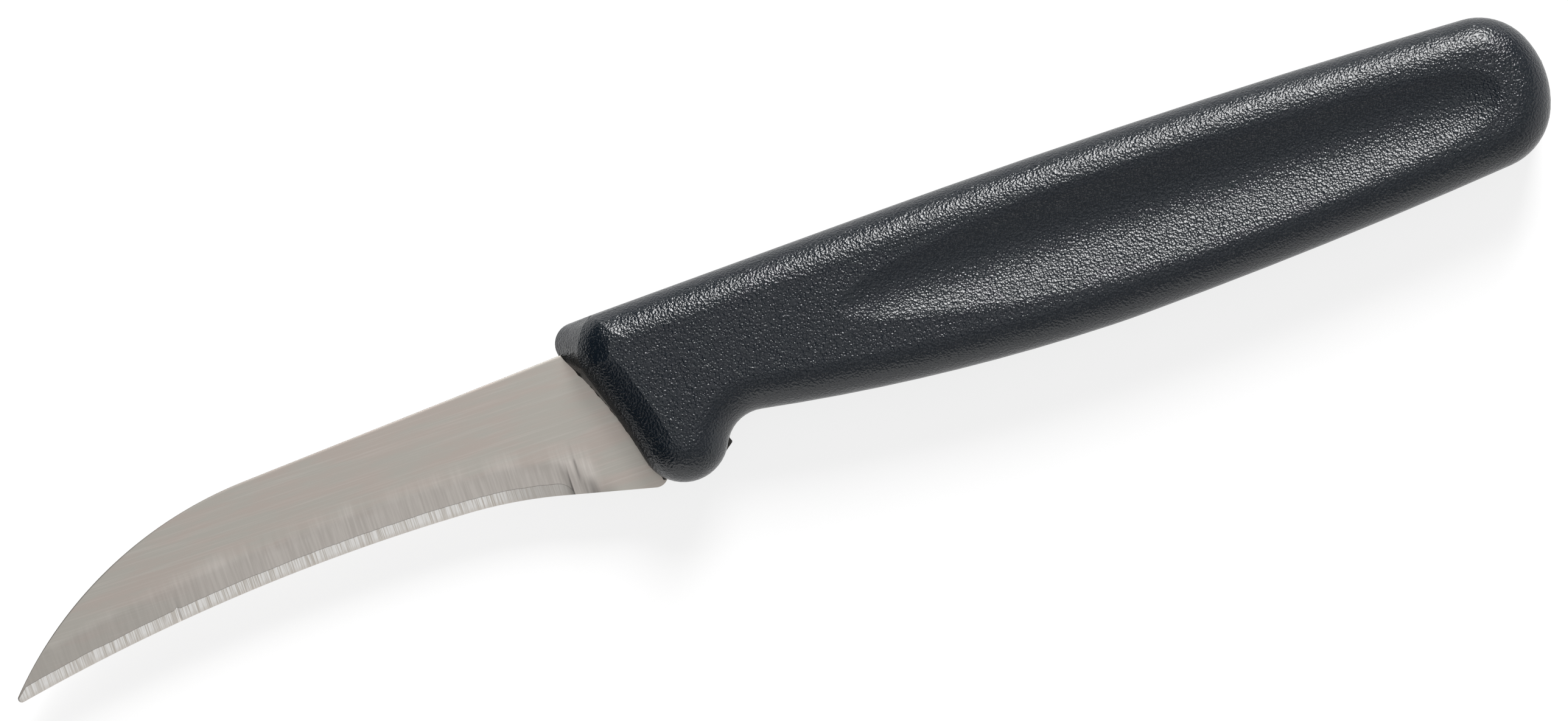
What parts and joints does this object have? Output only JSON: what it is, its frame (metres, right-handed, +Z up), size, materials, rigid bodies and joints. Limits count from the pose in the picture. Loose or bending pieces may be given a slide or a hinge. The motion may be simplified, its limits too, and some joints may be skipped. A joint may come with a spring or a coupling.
{
  "type": "paring knife",
  "caption": "Small turning knife: a hooked, double-ground steel blade in a moulded plastic handle with a finger guard and hollowed sides.",
  "frame": {"origin": "on the surface the knife lies on, under the middle of its bounding box", "axes": "+X along the handle towards the butt, +Y towards the back of the blade, +Z up through the knife's thickness"},
  "size_m": [0.1706, 0.0212, 0.013],
  "materials": {
    "blade_steel": "finely ground flats, brighter coarse-ground hone bevel",
    "handle_plastic": "spark-eroded leather grain, satin"
  },
  "bodies": {
    "root": {"blade": "blade_steel", "handle": "handle_plastic"}
  },
  "joints": []
}
